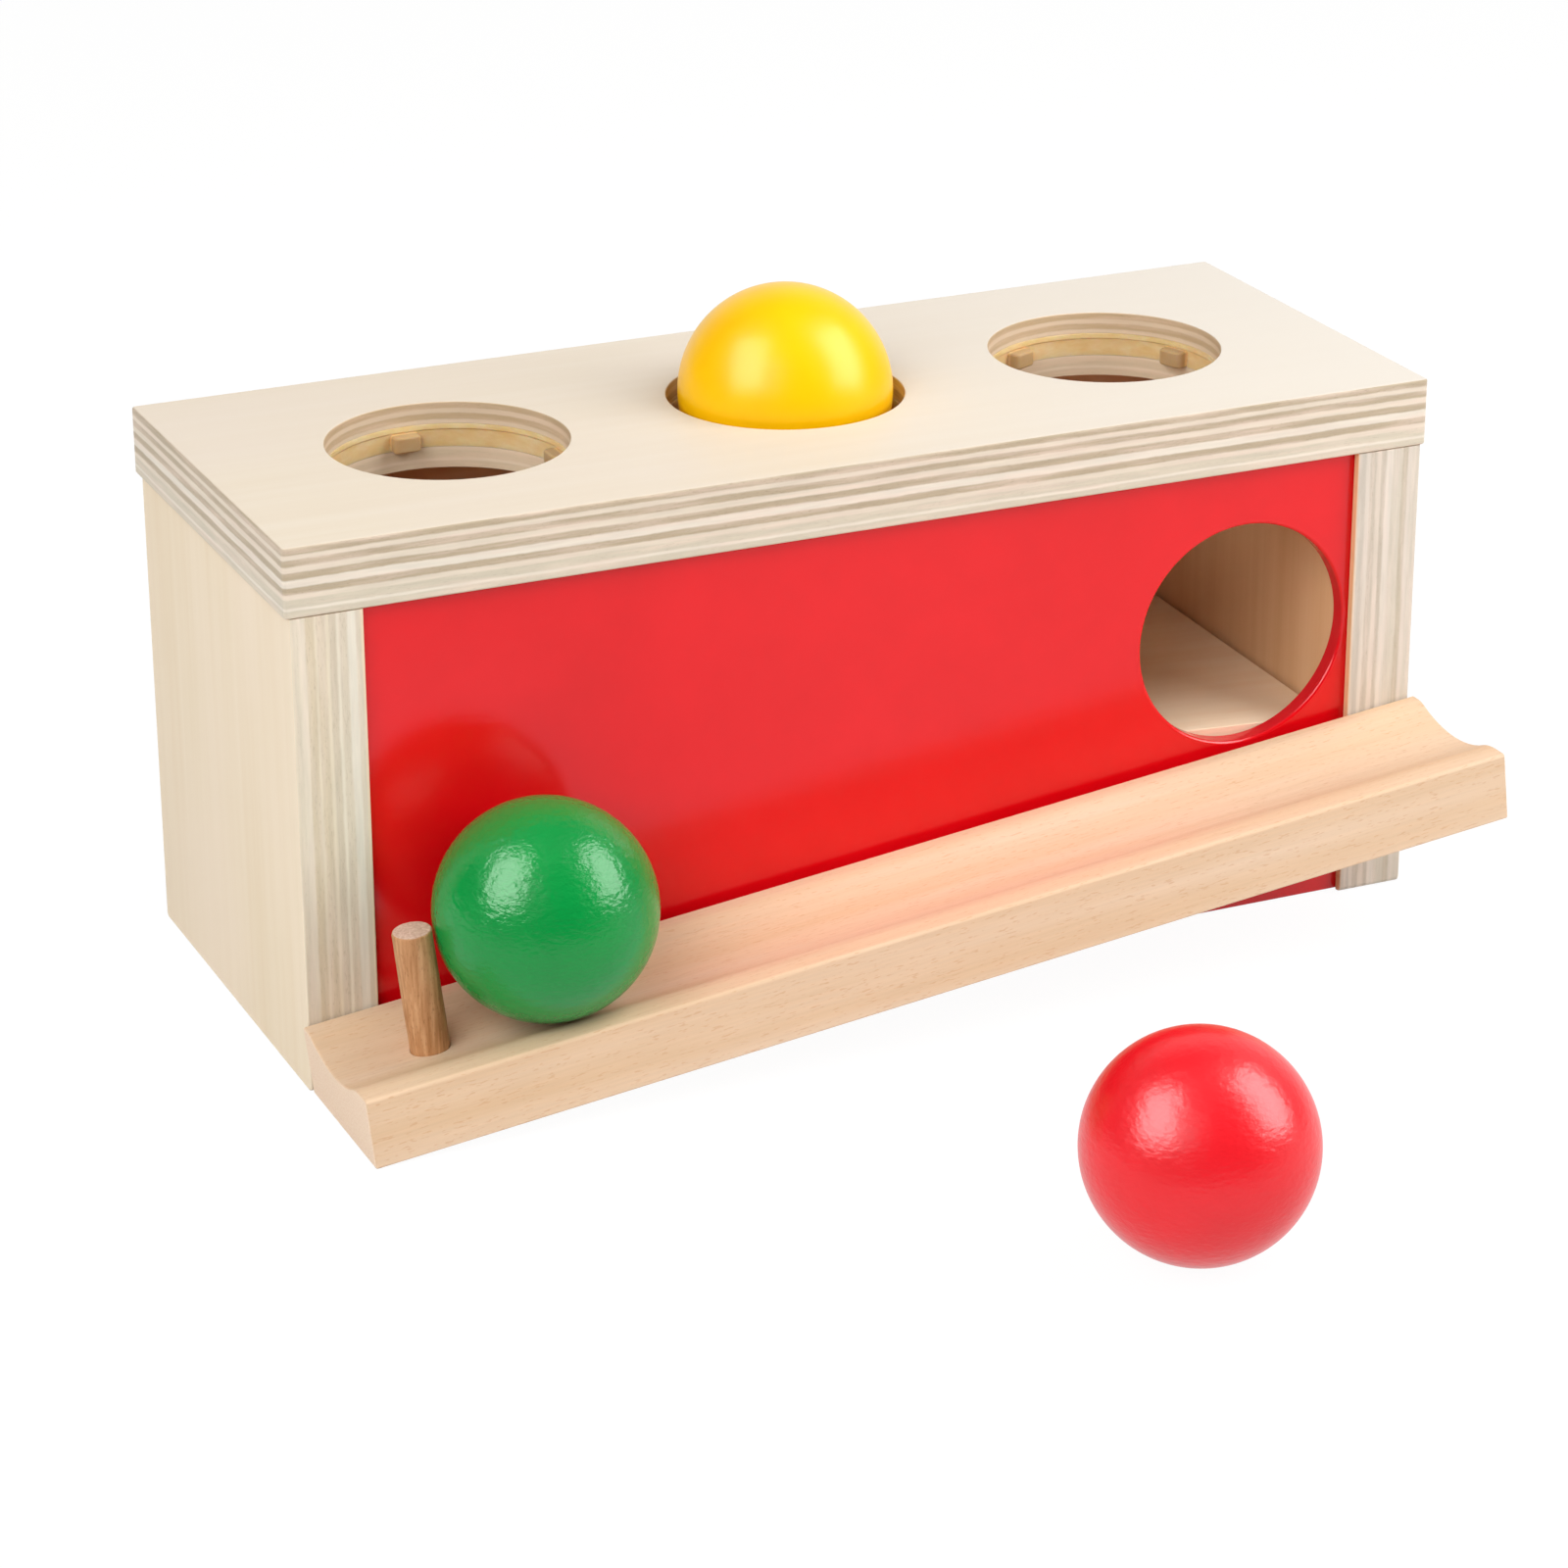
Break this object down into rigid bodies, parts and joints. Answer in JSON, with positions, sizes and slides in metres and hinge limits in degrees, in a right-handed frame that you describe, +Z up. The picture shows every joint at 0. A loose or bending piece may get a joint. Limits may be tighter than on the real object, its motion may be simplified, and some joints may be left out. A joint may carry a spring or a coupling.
{
  "type": "object permanence box",
  "caption": "Wooden ball-drop box: balls push through rubber rings in the top, roll down an inner ramp, out of a round hole and along a sloping grooved tray to a peg.",
  "frame": {"origin": "on the ground, at the middle of the footprint of the whole set, with the loose red ball in front", "axes": "+Z up, +X to the right along the box's length, towards the exit hole, +Y to the back; the red front panel faces -Y"},
  "size_m": [0.255, 0.2514, 0.1379],
  "materials": {
    "birch_plywood": "clear satin lacquer",
    "red_lacquered_board": "semi-gloss red lacquer",
    "beech": "clear satin lacquer",
    "dark_beech": "plain sanded",
    "pine": "plain sanded",
    "amber_rubber": "translucent satin",
    "yellow_lacquer": "gloss yellow lacquer",
    "green_lacquer": "gloss green lacquer",
    "red_ball_lacquer": "gloss red lacquer"
  },
  "bodies": {
    "box": {"top_board": "birch_plywood", "left_side_panel": "birch_plywood", "right_side_panel": "birch_plywood", "front_panel": "red_lacquered_board", "back_panel": "red_lacquered_board", "ball_ramp": "birch_plywood", "left_ramp_cleat": "pine", "right_ramp_cleat": "pine", "ball_tray": "beech", "stop_peg": "dark_beech", "left_retaining_ring": "amber_rubber", "middle_retaining_ring": "amber_rubber", "right_retaining_ring": "amber_rubber", "left_front_top_dowel": "pine", "left_back_top_dowel": "pine", "right_front_top_dowel": "pine", "right_back_top_dowel": "pine", "left_tray_dowel": "pine", "right_tray_dowel": "pine"},
    "yellow_ball": {"yellow_ball": "yellow_lacquer"},
    "green_ball": {"green_ball": "green_lacquer"},
    "red_ball": {"red_ball": "red_ball_lacquer"}
  },
  "joints": [
    {"name": "yellow_ball_push", "type": "slide", "parent": "box", "child": "yellow_ball", "axis": [0, 0, 1], "range_m": [-0.0452, 0.05], "deforming": ["middle_retaining_ring"]},
    {"name": "green_ball_roll", "type": "slide", "parent": "box", "child": "green_ball", "axis": [0.9936, 0, 0.1129], "range_m": [0, 0.1687]},
    {"name": "red_ball_lift", "type": "slide", "parent": "box", "child": "red_ball", "axis": [0, 0, 1], "range_m": [0, 0.12]}
  ]
}
